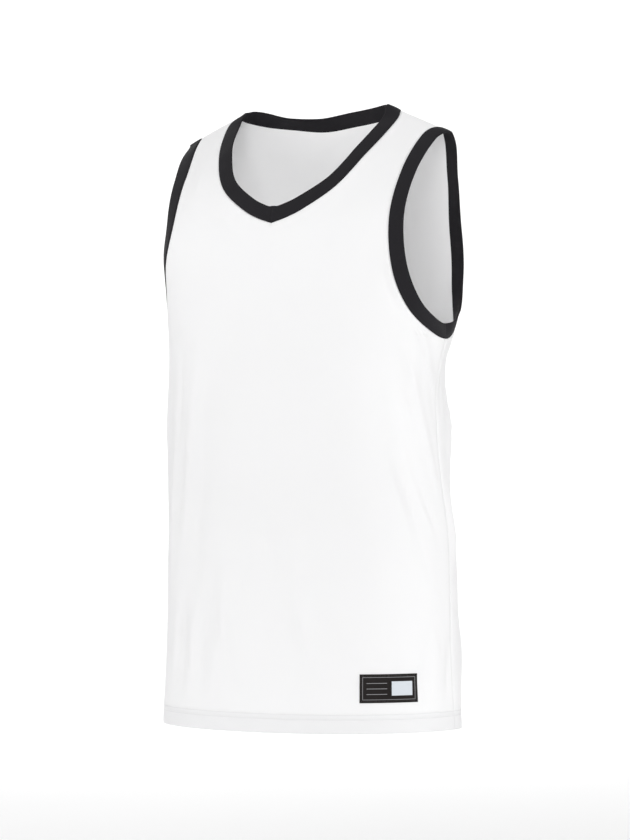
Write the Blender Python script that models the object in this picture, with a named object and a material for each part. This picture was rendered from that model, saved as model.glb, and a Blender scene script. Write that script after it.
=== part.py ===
"""A sleeveless basketball jersey, filled out as it is worn and open at the neck, armholes and hem.

Sizes here are millimetres and the meshes are metres. +Z is up, the front faces -Y and the wearer's
left is +X. The origin is the middle of the garment, level with the neck ends of the shoulder seams,
where the wearer's shoulders carry it.

Every piece is cut from one curved surface, body(), which is worked out from two numbers:
  angle   0 at centre front, 90 at the side seam, 180 at centre back, negative on the wearer's right
  level  -1 at the hem, 0 on the chest line under the arms, 1 on the ridge of the shoulders
"""

import bpy
import numpy as np

MM = 0.001

# Lengths of the garment
LENGTH = 760.0            # neck point to hem
CHEST_LINE = 285.0        # neck point down to the line under the arms
SIDE_RISE = 3.0           # the hem is this much higher at the side seams
NECK_POINT = 105.0        # middle of the garment out to the neck end of the shoulder seam
SHOULDER_SLOPE = 24.0     # degrees, from the neck point out to the armhole
NECK_SLOPE = 2.0          # degrees, from the neck point in towards the neck
RIDGE_SOFTNESS = 6.0      # how gradually the two slopes meet
RIDGE_ROUNDING = 40.0     # how gradually the slopes of left and right meet at the middle

# Cloth
PANEL_WALL = 1.2
HEM_WALL = 2.2            # the turned-up hem is double
HEM_DEPTH = 23.0
HEM_STEP = 1.5            # height over which the double hem ends
BAND_WALL = 2.2
BAND_CROWN = 0.4          # the doubled band is this much fuller along its middle
FOLD_EDGE = 0.6           # share of its wall that a band keeps at its folded edge
NECK_BAND_WIDTH = 19.0
ARM_BAND_WIDTH = 19.0
SEAM_GAP = 0.3
TAG_WIDTH = 71.5
TAG_HEIGHT = 34.5
TAG_WALL = 0.8
TAG_ANGLE = 35.8          # the tag's edge nearest the middle of the front
TAG_BASE = 37.0           # the tag's lower edge above the hem

# Cross-sections of the body: half width, depths of front and back from the middle of the sides, how
# far forward (-) of the shoulder ridge that middle lies, and squareness of front and back: 0 is an
# ellipse
SECTIONS = np.array([
    # level  half_width  front  back  middle  front_square  back_square
    (-1.00, 197.0, 126.0, 113.0, -11.0, 0.030, 0.000),
    (-0.75, 192.5, 115.5, 116.0, -14.0, 0.030, 0.006),
    (-0.50, 189.5, 110.5, 107.5, -16.0, 0.030, 0.010),
    (-0.30, 181.5, 113.0, 117.0, -23.5, 0.030, 0.000),
    (-0.15, 179.5, 115.5, 117.0, -23.5, 0.030, 0.002),
    (0.00, 187.0, 113.5, 101.0, -16.5, 0.030, 0.012),
    (0.15, 197.5, 112.5, 93.5, -13.0, 0.036, 0.030),
    (0.35, 232.0, 126.0, 90.5, -8.0, 0.043, 0.043),
    (1.00, 255.0, 119.5, 91.5, 0.0, 0.043, 0.043),
])
TAPER_FRONT = (0.60, 4.7)  # share of the depth lost by the shoulder ridge, and how late it is lost
TAPER_BACK = (0.57, 2.0)

# Armhole seams: angles from centre front on the wearer's left and right, and from centre back
ARMHOLE = np.array([
    # level  front_left  front_right  back
    (0.00, 90.0, 90.0, 90.0),
    (0.03, 72.4, 72.4, 67.0),
    (0.09, 57.9, 57.0, 56.5),
    (0.20, 45.1, 47.5, 46.5),
    (0.35, 36.3, 36.0, 38.0),
    (0.55, 33.0, 32.7, 36.0),
    (0.78, 33.8, 35.5, 37.4),
    (1.00, 37.2, 36.5, 37.2),
])
# Neck seam, from the point of the V to the shoulder seam, and from centre back to the shoulder seam
NECK_FRONT = np.array([
    # level  angle
    (0.324, 0.0),
    (0.373, 8.5),
    (0.447, 16.3),
    (0.585, 21.2),
    (0.724, 23.7),
    (0.862, 24.6),
    (1.000, 23.4),
])
NECK_BACK = np.array([
    # level  angle
    (0.719, 0.0),
    (0.741, 8.2),
    (0.785, 16.3),
    (0.835, 20.9),
    (0.915, 23.0),
    (1.000, 23.4),
])

# How far each band leans out from the cloth beside it, in degrees. The share runs from 0 at the V or
# under the arm, up the front, to 0.5 at the shoulder and down the back to 1
LEAN_NECK = np.array([
    # share  lean
    (0.00, -1.0),
    (0.37, -4.7),
    (0.50, -15.0),
    (1.00, -15.0),
])
LEAN_ARMHOLE = np.array([
    # share  left  right
    (0.00, -14.0, -14.0),
    (0.13, -2.5, -18.0),
    (0.33, 10.0, 0.0),
    (0.42, 4.0, 6.0),
    (0.50, -2.0, -12.0),
    (0.60, -10.0, -2.0),
    (0.75, 6.0, 6.0),
    (1.00, -14.0, -14.0),
])

# Largest folds: each runs from one place to another and stands out, or in where its height is negative
FOLDS = np.array([
    # angle  level  to_angle  to_level  half_width  height
    (-34.0, 0.05, -60.0, -0.75, 16.0, 4.0),
    (-26.0, 0.00, -46.0, -0.80, 18.0, -3.0),
    (60.0, 0.05, 76.0, -0.35, 13.0, 3.5),
    (50.0, -0.05, 80.0, -0.62, 15.0, 3.5),
    (-45.0, -0.60, -40.0, -1.00, 12.0, 2.5),
    (-22.0, -0.55, -20.0, -1.00, 14.0, 2.0),
    (120.0, 0.05, 104.0, -0.45, 16.0, 4.0),
    (140.0, 0.00, 118.0, -0.75, 20.0, -3.0),
    (-122.0, 0.05, -104.0, -0.50, 16.0, 3.5),
    (-142.0, -0.05, -120.0, -0.80, 20.0, -3.0),
    (168.0, -0.20, 172.0, -0.95, 22.0, 3.0),
    (-160.0, -0.45, -164.0, -1.00, 18.0, 2.5),
])
DEGREE_LENGTH = 2.6       # cloth that one degree of angle takes up, for the widths of the folds

# Points of the meshes
COLUMNS = 14              # centre line to side seam
BODY_ROWS = 13            # top of the hem to the chest line
ARM_ROWS = 22             # chest line to shoulder
CENTRE_ROWS_FRONT = 8     # those of them that meet the centre front below the V
CENTRE_ROWS_BACK = 13
RIDGE_CROWDING = 2.5      # how much closer together they lie at the ridge, and how near it that starts
RIDGE_CROWDING_POWER = 8
SEAM_CHORD = (60.0, 0.6)  # degrees of angle and levels that count as equally long along a seam
SEAM_SAMPLES = 400        # places at which a seam's length is measured
BAND_COLUMNS = 3
TAG_COLUMNS = 8
TAG_ROWS = 3
EASING = 8                # rounds of averaging of a band's directions at the shoulder
EASING_POWER = 4          # how near the ridge the averaging starts

WHITE_KNIT = (0.86, 0.86, 0.87, 1.0)
BLACK_RIB = (0.022, 0.020, 0.024, 1.0)
TAG_GROUND = (0.018, 0.014, 0.013, 1.0)


def smooth_rows(stations, values, at):
    """A smooth curve through a table's rows: cubic pieces whose slope at a row is the mean of the
    slopes beside it, each weighted by the other's length."""
    steps = np.diff(stations)[:, None]
    rises = np.diff(values, axis=0) / steps
    slopes = np.vstack([rises[:1], (rises[:-1] * steps[1:] + rises[1:] * steps[:-1])
                        / (steps[1:] + steps[:-1]), rises[-1:]])
    return cubic_pieces(stations, values, slopes, at)


def cubic_pieces(stations, values, slopes, at):
    """Read a piecewise cubic, given by its values and slopes at the stations."""
    at = np.asarray(at, float)
    low = np.clip(np.searchsorted(stations, at, side="right") - 1, 0, len(stations) - 2)
    step = (stations[low + 1] - stations[low])[..., None]
    share = (at[..., None] - stations[low][..., None]) / step
    cube, square = share ** 3, share ** 2
    return ((2 * cube - 3 * square + 1) * values[low] + (cube - 2 * square + share) * step * slopes[low]
            + (3 * square - 2 * cube) * values[low + 1] + (cube - square) * step * slopes[low + 1])


def unit(vectors):
    return vectors / np.linalg.norm(vectors, axis=-1, keepdims=True)


def ridge_height(across):
    """Height of the shoulder ridge: two slopes that meet softly at the neck point."""
    past = np.hypot(across, RIDGE_ROUNDING) - np.hypot(NECK_POINT, RIDGE_ROUNDING)
    outward = -np.tan(np.radians(SHOULDER_SLOPE))
    inward = -np.tan(np.radians(NECK_SLOPE))
    bend = np.sqrt(past ** 2 + RIDGE_SOFTNESS ** 2) - RIDGE_SOFTNESS
    return (outward + inward) / 2 * past + (outward - inward) / 2 * bend


def smooth_form(angle, level):
    """The body without its folds. A section is x = width * (sin a + k sin 3a) / (1 - k) and
    y = middle -+ depth * (cos a - k cos 3a) / (1 - k). Above the chest line the depth closes as
    cos(t) and the height rises as sin(t), where t goes from 0 to a right angle at the ridge."""
    angle, level = np.broadcast_arrays(np.asarray(angle, float), np.asarray(level, float))
    row = smooth_rows(SECTIONS[:, 0], SECTIONS[:, 1:], level)
    width, front, back, middle, front_square, back_square = np.moveaxis(row, -1, 0)
    is_front = np.abs(angle) <= 90
    square = np.where(is_front, front_square, back_square)
    turn = np.radians(np.where(is_front, np.abs(angle), 180 - np.abs(angle)))
    side = (np.sin(turn) + square * np.sin(3 * turn)) / (1 - square)
    fore = (np.cos(turn) - square * np.cos(3 * turn)) / (1 - square)
    across = width * side * np.sign(angle)
    climb = np.sin(np.clip(level, 0, 1) * np.pi / 2)
    most, late = np.moveaxis(np.where(is_front[..., None], TAPER_FRONT, TAPER_BACK), -1, 0)
    closing = np.sqrt(1 - climb ** 2) * (1 - most * climb ** late)
    deep = middle + np.where(is_front, -front, back) * fore * closing
    below = -CHEST_LINE + level * (LENGTH - CHEST_LINE) + SIDE_RISE * side ** 2 * level ** 2
    above = -CHEST_LINE + (ridge_height(across) + CHEST_LINE) * climb
    return np.stack([across, deep, np.where(level < 0, below, above)], axis=-1)


def normals_of(form, angle, level):
    """Outward directions of a form, from its slopes along the angle and the level."""
    top = np.minimum(level + 0.004, 1.0)
    along = form(angle + 0.4, level) - form(angle - 0.4, level)
    up = form(angle, top) - form(angle, top - 0.008)
    return unit(np.cross(along, up))


def fold_relief(angle, level):
    """How far the folds lift the cloth: each is a bell across its line, and swells and dies away
    along it."""
    relief = np.zeros(np.shape(angle))
    rise = LENGTH - CHEST_LINE
    for start, start_level, end, end_level, half_width, height in FOLDS:
        run_across, run_up = (end - start) * DEGREE_LENGTH, (end_level - start_level) * rise
        across = ((angle - start + 180) % 360 - 180) * DEGREE_LENGTH
        up = (level - start_level) * rise
        length = np.hypot(run_across, run_up)
        share = np.clip((across * run_across + up * run_up) / length ** 2, 0, 1)
        aside = (across * run_up - up * run_across) / length
        relief += height * np.exp(-(aside / half_width) ** 2) * np.sin(np.pi * share) ** 1.5
    return relief


def body(angle, level):
    angle, level = np.broadcast_arrays(np.asarray(angle, float), np.asarray(level, float))
    lift = fold_relief(angle, level)[..., None]
    return smooth_form(angle, level) + lift * normals_of(smooth_form, angle, level)


def seam_run(rows, before, after, count, place, side):
    """Places along a seam as rows of angle, level and share of the seam's length: a smooth curve
    through the table's rows, shared out by length of cloth but closer together towards the shoulder
    ridge. The rows before and after it only steer its two ends."""
    steer = np.vstack([before, rows, after])
    chords = np.sqrt(np.linalg.norm(np.diff(steer, axis=0) / SEAM_CHORD, axis=1))
    way = np.concatenate([[0.0], np.cumsum(chords)])
    steps = np.diff(way)[:, None]
    rises = np.diff(steer, axis=0) / steps
    slopes = (rises[:-1] * steps[1:] + rises[1:] * steps[:-1]) / (steps[1:] + steps[:-1])
    fine = np.linspace(way[1], way[-2], SEAM_SAMPLES)
    run = cubic_pieces(way[1:-1], rows, slopes, fine)
    steps = np.linalg.norm(np.diff(smooth_form(*place(run, side)), axis=0), axis=1)
    crowding = 1 + RIDGE_CROWDING * run[1:, 1] ** RIDGE_CROWDING_POWER
    length = np.concatenate([[0.0], np.cumsum(steps)])
    effort = np.concatenate([[0.0], np.cumsum(steps * crowding)])
    at = np.interp(np.linspace(0, effort[-1], count), effort, fine)
    share = np.interp(at, fine, length) / length[-1]
    return np.column_stack([cubic_pieces(way[1:-1], rows, slopes, at), share])


def armhole_runs(side):
    """The armhole seam from under the arm to the shoulder, on the front and on the back, as rows of
    angle from the panel's own centre, level and share."""
    front = ARMHOLE[:, [1 if side > 0 else 2, 0]]
    back = ARMHOLE[:, [3, 0]].copy()
    back[-1, 0] = front[-1, 0]
    under_front = (180 - back[1, 0], back[1, 1])
    under_back = (180 - front[1, 0], front[1, 1])
    over_front = (back[-2, 0], 2 - back[-2, 1])
    over_back = (front[-2, 0], 2 - front[-2, 1])
    return (seam_run(front, under_front, over_front, ARM_ROWS + 1, on_front, side),
            seam_run(back, under_back, over_back, ARM_ROWS + 1, on_back, side))


def neck_runs():
    """The neck seam from centre to shoulder, on the front and on the back."""
    front = NECK_FRONT[:, ::-1]
    back = NECK_BACK[:, ::-1]
    over_front = (back[-2, 0], 2 - back[-2, 1])
    over_back = (front[-2, 0], 2 - front[-2, 1])
    front_rows = ARM_ROWS - CENTRE_ROWS_FRONT + 1
    back_rows = ARM_ROWS - CENTRE_ROWS_BACK + 1
    return (seam_run(front, 2 * front[0] - front[1], over_front, front_rows, on_front, 1),
            seam_run(back, (-back[1, 0], back[1, 1]), over_back, back_rows, on_back, 1))


def on_front(run, side):
    return side * run[:, 0], run[:, 1]


def on_back(run, side):
    return side * (180 - run[:, 0]), run[:, 1]


def eased(vectors, level):
    """The directions along a closed seam, averaged with their neighbours the more the nearer they
    lie to the shoulder ridge, where the cloth turns over most quickly."""
    mean = vectors
    for _ in range(EASING):
        mean = unit(np.roll(mean, 1, axis=0) + 2 * mean + np.roll(mean, -1, axis=0))
    return unit(vectors + (mean - vectors) * np.clip(level, 0, 1)[:, None] ** EASING_POWER)


def ring(places, corner=None):
    """A closed seam: its points, their outward normals and the directions into the hole. At a corner
    the direction is the mitre of the two sides."""
    angle, level = (np.concatenate(parts) for parts in zip(*places))
    points = body(angle, level)
    normals = eased(normals_of(body, angle, level), level)
    ahead = unit(np.roll(points, -1, axis=0) - points)
    behind = np.roll(ahead, 1, axis=0)
    inward = unit(np.cross(normals, ahead + behind))
    inward *= np.sign((inward * (points.mean(axis=0) - points)).sum())
    inward = eased(inward, level)
    if corner is not None:
        square = unit(np.cross(normals[corner], ahead[corner]))
        inward[corner] /= abs(inward[corner] @ square)
    return points, normals, inward


def armhole_ring(side):
    """Under the arm, up the front, over the shoulder and down the back."""
    front, back = armhole_runs(side)
    return ring([on_front(front, side), on_back(back[-2:0:-1], side)])


def neck_ring():
    """From the point of the V up the wearer's left, round the back and down the wearer's right."""
    front, back = neck_runs()
    places = [on_front(front, 1), on_back(back[-2::-1], 1), on_back(back[1:], -1), on_front(front[-2:0:-1], -1)]
    return ring(places, corner=0)


def sheet_faces(rows, columns):
    """Index quads of a grid, facing out when the columns run to the wearer's left and the rows up."""
    index = np.arange(rows * columns).reshape(rows, columns)
    return np.stack([index[:-1, :-1], index[:-1, 1:], index[1:, 1:], index[1:, :-1]], axis=-1).reshape(-1, 4)


def walled(points, normals, faces, outer, inner):
    """Close a sheet into a wall: its outer and inner skins, and a rim along each free edge."""
    count = len(points)
    skins = np.vstack([points + normals * outer, points - normals * inner])
    edges = np.vstack([faces[:, [corner, (corner + 1) % 4]] for corner in range(4)])
    seen = {tuple(edge) for edge in edges.tolist()}
    free = np.array([edge for edge in edges.tolist() if (edge[1], edge[0]) not in seen])
    rim = np.column_stack([free[:, 1], free[:, 0], free[:, 0] + count, free[:, 1] + count])
    return skins, np.vstack([faces, faces[:, ::-1] + count, rim])


def make_object(name, points, faces, colour, roughness):
    """One closed solid with its own material."""
    mesh = bpy.data.meshes.new(name)
    mesh.from_pydata((points * MM).tolist(), [], faces.tolist())
    mesh.validate()
    mesh.shade_smooth()
    mesh.set_sharp_from_angle(angle=np.radians(40))
    material = bpy.data.materials.new(name)
    material.use_nodes = True
    shader = material.node_tree.nodes["Principled BSDF"]
    shader.inputs["Base Color"].default_value = colour
    shader.inputs["Roughness"].default_value = roughness
    mesh.materials.append(material)
    piece = bpy.data.objects.new(name, mesh)
    bpy.context.scene.collection.objects.link(piece)
    return piece


def panel_half(side, is_front):
    """One half of a panel as a grid: rows from hem to shoulder, columns from the centre line, or
    above it the neck seam, out to the side seam, or above it the armhole seam."""
    hem_top = HEM_DEPTH / (LENGTH - CHEST_LINE)
    hem_end = (HEM_DEPTH + HEM_STEP) / (LENGTH - CHEST_LINE)
    levels = np.concatenate([[-1.0, hem_top - 1], np.linspace(hem_end - 1, 0, BODY_ROWS + 1)[:-1]])
    place = on_front if is_front else on_back
    arm = armhole_runs(side)[0 if is_front else 1]
    neck = neck_runs()[0 if is_front else 1]
    centre_rows = ARM_ROWS - len(neck) + 1
    centre = np.column_stack([np.zeros(centre_rows), np.linspace(0, neck[0, 1], centre_rows + 1)[:-1]])
    low = np.column_stack([np.zeros(len(levels)), levels])
    near = np.vstack([low, centre, neck[:, :2]])
    far = np.vstack([low + (90.0, 0.0), arm[:, :2]])
    share = np.linspace(0, 1, COLUMNS + 1)[None, :, None]
    grid = near[:, None] * (1 - share) + far[:, None] * share
    angle, level = place(grid.reshape(-1, 2), side)
    shape = grid.shape[:2]
    return angle.reshape(shape), level.reshape(shape), len(levels)


def seam_allowance(points, side, first_arm_row):
    """Draw a half panel's edges back by half the seam gap along the cloth."""
    half_gap = SEAM_GAP / 2
    arm_points, _, arm_inward = armhole_ring(side)
    neck_points, _, neck_inward = neck_ring()
    shift = np.zeros_like(points)
    edge = slice(0, first_arm_row + 1)
    shift[edge, -1] += half_gap * unit(points[edge, -2] - points[edge, -1])
    shift[-1, :] += half_gap * unit(points[-2, :] - points[-1, :])
    for ring_points, inward, column in ((arm_points, arm_inward, -1), (neck_points, neck_inward, 0)):
        cloth = points[:, column]
        apart = np.linalg.norm(cloth[:, None] - ring_points[None], axis=-1)
        nearest = apart.argmin(axis=1)
        met = apart.min(axis=1) < 1e-6
        shift[met, column] -= half_gap * inward[nearest[met]]
    return points + shift


def panel(name, is_front):
    """A whole body panel: two halves that share the centre line up to the neck."""
    skins, all_normals, all_levels, faces = [], [], [], []
    for side in (1, -1):
        angle, level, first_arm_row = panel_half(side, is_front)
        normals = normals_of(body, angle, level)
        points = seam_allowance(body(angle, level), side, first_arm_row)
        rows, columns = level.shape
        quads = sheet_faces(rows, columns)
        faces_left = (side > 0) == is_front
        faces.append((quads if faces_left else quads[:, ::-1]) + len(faces) * rows * columns)
        skins.append(points.reshape(-1, 3))
        all_normals.append(normals.reshape(-1, 3))
        all_levels.append(level.reshape(-1))
    points, normals = np.vstack(skins), np.vstack(all_normals)
    level, faces = np.concatenate(all_levels), np.vstack(faces)
    neck_row = np.flatnonzero(np.abs(points[:rows * columns:columns, 0]) > 0.1)[0]
    index = np.arange(len(points))
    shared = np.arange(neck_row) * columns
    index[shared + rows * columns] = shared
    used, renumbered = np.unique(index, return_inverse=True)
    hem = level[used] < HEM_DEPTH / (LENGTH - CHEST_LINE) - 1 + 1e-6
    inner = PANEL_WALL / 2 + np.where(hem, HEM_WALL - PANEL_WALL, 0)[:, None]
    points, faces = walled(points[used], normals[used], renumbered[faces], PANEL_WALL / 2, inner)
    make_object(name, points, faces, WHITE_KNIT, 0.6)


def band(name, seam, lean, width):
    """A doubled band: it leaves the seam along the cloth, leans out by its table and ends in a
    rounded fold at the hole."""
    points, normals, inward = seam
    lean = np.radians(lean)[:, None]
    mitre = np.linalg.norm(inward, axis=1)[:, None]
    slant = np.cos(lean) * inward + np.sin(lean) * normals * mitre
    square = np.cos(lean) * normals - np.sin(lean) * inward / mitre
    start = points + inward * SEAM_GAP / 2
    share = np.linspace(0, 1, BAND_COLUMNS + 1)[:, None]
    middle = start[:, None] + slant[:, None] * (width - SEAM_GAP / 2) * share
    face = np.where(share > 0, square[:, None], normals[:, None])
    half = BAND_WALL / 2 * np.where(share < 1, 1, FOLD_EDGE)
    outer = middle + face * (half + BAND_CROWN * np.sin(np.pi * share))
    inner = middle - face * half
    loop = np.concatenate([outer, inner[:, ::-1]], axis=1)
    around, columns = loop.shape[:2]
    index = np.arange(around * columns).reshape(around, columns)
    after, beside = np.roll(index, -1, axis=0), np.roll(index, -1, axis=1)
    faces = np.stack([index, beside, np.roll(after, -1, axis=1), after], axis=-1).reshape(-1, 4)
    along = points[1] - points[0]
    if np.dot(np.cross(inward[0], along), normals[0]) < 0:
        faces = faces[:, ::-1]
    make_object(name, loop.reshape(-1, 3), faces, BLACK_RIB, 0.7)


def tag():
    """The woven tag: a patch of the front's own surface, moved out to lie on it."""
    rise = LENGTH - CHEST_LINE
    base = TAG_BASE / rise - 1
    sweep = np.linspace(TAG_ANGLE, 89, 200)
    trail = body(sweep, np.full(200, base))
    length = np.concatenate([[0.0], np.cumsum(np.linalg.norm(np.diff(trail, axis=0), axis=1))])
    angle = np.interp(np.linspace(0, TAG_WIDTH, TAG_COLUMNS + 1), length, sweep)
    level = base + np.linspace(0, TAG_HEIGHT / rise, TAG_ROWS + 1)
    angle, level = np.meshgrid(angle, level)
    points = body(angle, level).reshape(-1, 3)
    normals = normals_of(body, angle, level).reshape(-1, 3)
    seat = PANEL_WALL / 2 + SEAM_GAP
    points, faces = walled(points, normals, sheet_faces(*angle.shape), seat + TAG_WALL, -seat)
    make_object("hem_tag", points, faces, TAG_GROUND, 0.6)


def main():
    for old in list(bpy.data.objects):
        bpy.data.objects.remove(old)
    panel("front_panel", True)
    panel("back_panel", False)
    front, back = neck_runs()
    half = np.concatenate([front[:, 2] / 2, 1 - back[-2::-1, 2] / 2])
    share = np.concatenate([half, half[-2:0:-1]])
    lean = smooth_rows(LEAN_NECK[:, 0], LEAN_NECK[:, 1:], share)[:, 0]
    band("neck_band", neck_ring(), lean, NECK_BAND_WIDTH)
    for name, side, column in (("armhole_band_left", 1, 1), ("armhole_band_right", -1, 2)):
        front, back = armhole_runs(side)
        share = np.concatenate([front[:, 2] / 2, 1 - back[-2:0:-1, 2] / 2])
        lean = smooth_rows(LEAN_ARMHOLE[:, 0], LEAN_ARMHOLE[:, column:column + 1], share)[:, 0]
        band(name, armhole_ring(side), lean, ARM_BAND_WIDTH)
    tag()


main()
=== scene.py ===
"""A sleeveless basketball jersey as it looks when worn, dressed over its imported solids.

Lengths here are millimetres and the meshes are metres. +Z is up, the front faces -Y and the wearer's
left is +X. The whole garment is one curved surface, body(), worked out from two numbers:
  angle   0 at centre front, 90 at the side seam, 180 at centre back, negative on the wearer's right
  level  -1 at the hem, 0 on the chest line under the arms, 1 on the ridge of the shoulders
"""

import bpy
import numpy as np
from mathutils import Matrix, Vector


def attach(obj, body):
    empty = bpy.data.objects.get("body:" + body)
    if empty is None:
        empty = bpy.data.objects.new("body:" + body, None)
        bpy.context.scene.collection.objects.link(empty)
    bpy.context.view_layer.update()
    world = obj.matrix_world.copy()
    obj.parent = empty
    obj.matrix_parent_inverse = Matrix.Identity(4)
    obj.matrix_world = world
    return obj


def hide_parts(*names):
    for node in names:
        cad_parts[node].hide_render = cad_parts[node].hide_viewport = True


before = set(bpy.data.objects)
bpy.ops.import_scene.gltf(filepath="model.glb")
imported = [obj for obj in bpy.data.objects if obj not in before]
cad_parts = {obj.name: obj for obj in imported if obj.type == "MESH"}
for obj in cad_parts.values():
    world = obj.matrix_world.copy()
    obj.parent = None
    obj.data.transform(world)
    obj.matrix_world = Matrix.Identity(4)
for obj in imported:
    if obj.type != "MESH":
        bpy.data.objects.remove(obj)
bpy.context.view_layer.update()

MM = 0.001

# Lengths of the garment
LENGTH = 760.0  # neck point to hem
CHEST_LINE = 285.0  # neck point down to the line under the arms
DROP = LENGTH - CHEST_LINE  # from there down to the hem
SIDE_RISE = 3.0  # the hem is this much higher at the side seams
NECK_POINT = 105.0  # middle of the garment out to the neck end of the shoulder seam
SHOULDER_SLOPE = 24.0  # degrees, from the neck point out to the armhole
NECK_SLOPE = 2.0  # degrees, from the neck point in towards the neck
RIDGE_SOFTNESS = 6.0  # how softly these two slopes meet
RIDGE_ROUNDING = 40.0  # and how softly the left and right ridge meet in the middle

# Cloth
PANEL_WALL = 1.2
HEM_WALL = 2.2  # the hem is turned up, so it is doubled
HEM_DEPTH = 23.0
HEM_STEP = 1.5  # height over which the doubled wall thins out
BAND_WALL = 2.2
BAND_CROWN = 0.4  # how far a band's face bulges
BAND_WIDTH = 19.0
FOLD_TIP = 0.02  # least share of its radius that a fold comes down to

# Seams
SEAM_GAP = 0.3
SEAM_ROLL = 0.95  # how far a seamed edge of the outer face sinks
SEAM_REACH = 1.4  # and how far from the seam
SEAM_HOLD = 9.0  # how far from it a seam above the chest line smooths out small creases
HOLD_LEVEL = 0.125  # level from which it does so fully
BAND_PRESS = (0.45, 2.2, 0.6)  # share of a band's wall at its seam, reach and power of its growth
BAND_TURN = 6  # a band faces as the cloth does at its seam, and its own way from a sixth on
BAND_RIPPLES = ((0.16, 1 / 9.0, 0.0), (0.10, 1 / 5.3, 1.0))  # height, pace and phase of its waves
V_BLUNTING = (0.09, 6.0)  # share by which the neck band widens at the V, and how far from it
V_PRESS = 0.3  # share by which the neck band is pressed thin where its ends meet
ARM_PRESS = 0.1  # and an armhole band
JOINT_REACH = 1.5  # and how far from there

# Stitches
STITCH_LINES = (16.8, 22.6)  # heights of the hem's two rows of stitches
STITCH_PITCH = 2.7
STITCH_DRAW = (0.55, 1.3)  # how far a row draws the cloth in, and how far from its line
PUCKERS = ((0.10, 0.62, 0.0), (0.07, 0.97, 1.0))  # the same for the cloth between the rows
PUCKER_REACH = 6.0
SIDE_CLEAR = 0.5  # degrees beside a side seam that stay free of stitches
HEM_STITCH = (2.0, 0.24)  # length and radius of one stitch
HEM_STITCH_LIFT = 0.12  # how far its middle stands out from the cloth
TAG_STITCH = (1.6, 0.17)
TAG_STITCH_LIFT = 0.66
TAG_STITCH_PITCH = 2.2
STITCH_SECTION = np.array([(1, 0), (0, 1), (-1, 0), (0, -0.4)])  # in radii: aside and out
STITCH_BODY = 0.55  # share of a stitch's length between its two rings
STITCH_DIP = 0.9  # radii by which its tips dip into the cloth
AHEAD = 0.3  # degrees or millimetres ahead that show which way a seam runs

# Tag
TAG_WIDTH = 71.5
TAG_HEIGHT = 34.5
TAG_ANGLE = 35.8  # where its lower corner nearest the middle of the front lies
TAG_SWEEP = (TAG_ANGLE - 4, 89)  # from beside it out to the side seam
TAG_BASE = 37.0  # how high it lies above the hem
TAG_WALL = 0.62
TAG_BACK = 0.12  # how far its back stays clear of the cloth
TAG_FOOT = 0.16  # and the foot of its rounded edges
TAG_ROUNDING = (0.6, 0.05)  # radius of these edges, and the share of it at which they start
TAG_SEAM = 1.9  # its stitches lie this far inside its edges
TAG_PRESS = (0.22, 0.7)  # how far they press it down, and how far from their line
TAG_DOME = (0.22, 5.0)  # how far it bulges, and how far in from its edges it starts to

# Cross-sections of the body: half width, depths of front and back from the middle of the sides, how
# far forward (-) of the shoulder ridge that middle lies, and squareness of front and back
SECTIONS = np.array([
    # level  half_width  front  back  middle  front_square  back_square
    (-1.00, 197, 126, 113, -11, 0.030, 0.000),
    (-0.75, 192.5, 115.5, 116, -14, 0.030, 0.006),
    (-0.50, 189.5, 110.5, 107.5, -16, 0.030, 0.010),
    (-0.30, 181.5, 113, 117, -23.5, 0.030, 0.000),
    (-0.15, 179.5, 115.5, 117, -23.5, 0.030, 0.002),
    (0.00, 187, 113.5, 101, -16.5, 0.030, 0.012),
    (0.15, 197.5, 112.5, 93.5, -13, 0.036, 0.030),
    (0.35, 232, 126, 90.5, -8, 0.043, 0.043),
    (1.00, 255, 119.5, 91.5, 0, 0.043, 0.043),
])
TAPER_FRONT = (0.60, 4.7)  # share of the depth lost by the shoulder ridge, and how late it is lost
TAPER_BACK = (0.57, 2.0)

# Armhole seams: angles from centre front and from centre back, on the wearer's left and right
ARMHOLE = np.array([
    # level  front_left  front_right  back_left  back_right
    (0.00, 90, 90, 90, 90),
    (0.03, 72.4, 76, 71, 67),
    (0.09, 57.9, 63.5, 59, 56.5),
    (0.20, 45.1, 51, 47.8, 46.5),
    (0.35, 36.3, 36, 38, 38),
    (0.55, 33, 32.7, 36, 36),
    (0.78, 33.8, 35.5, 37.4, 37.4),
    (1.00, 37.2, 36.5, 37.2, 37.2),
])
# Neck seam, from the point of the V to the shoulder seam, and from centre back to the shoulder seam
NECK_FRONT = np.array([
    # level  angle
    (0.3240, 0),
    (0.3405, 4.2),
    (0.3665, 8.5),
    (0.447, 16.3),
    (0.585, 21.2),
    (0.724, 23.7),
    (0.862, 24.6),
    (1.000, 23.4),
])
NECK_BACK = np.array([
    # level  angle
    (0.717, 0),
    (0.743, 8.2),
    (0.784, 16.3),
    (0.835, 20.9),
    (0.915, 23),
    (1.000, 23.4),
])

# How far each band leans out from the cloth beside it, in degrees. The share runs from 0 at the V or
# under the arm, up the front, to 0.5 at the shoulder and down the back to 1
LEAN_NECK = np.array([
    # share  left  right
    (0.00, -1, -1),
    (0.37, -4.7, -4.7),
    (0.50, -8, -14),
    (0.62, 4, 8),
    (0.80, 14, -18),
    (1.00, -5, -5),
])
LEAN_ARMHOLE = np.array([
    # share  left  right
    (0.00, -14, -14),
    (0.13, -2.5, -26),
    (0.23, 5, -24),
    (0.33, 10, -4),
    (0.42, 4, 6),
    (0.50, -2, -12),
    (0.60, -10, -2),
    (0.75, 6, 6),
    (0.90, 11, 2),
    (1.00, -14, -14),
])

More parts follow.
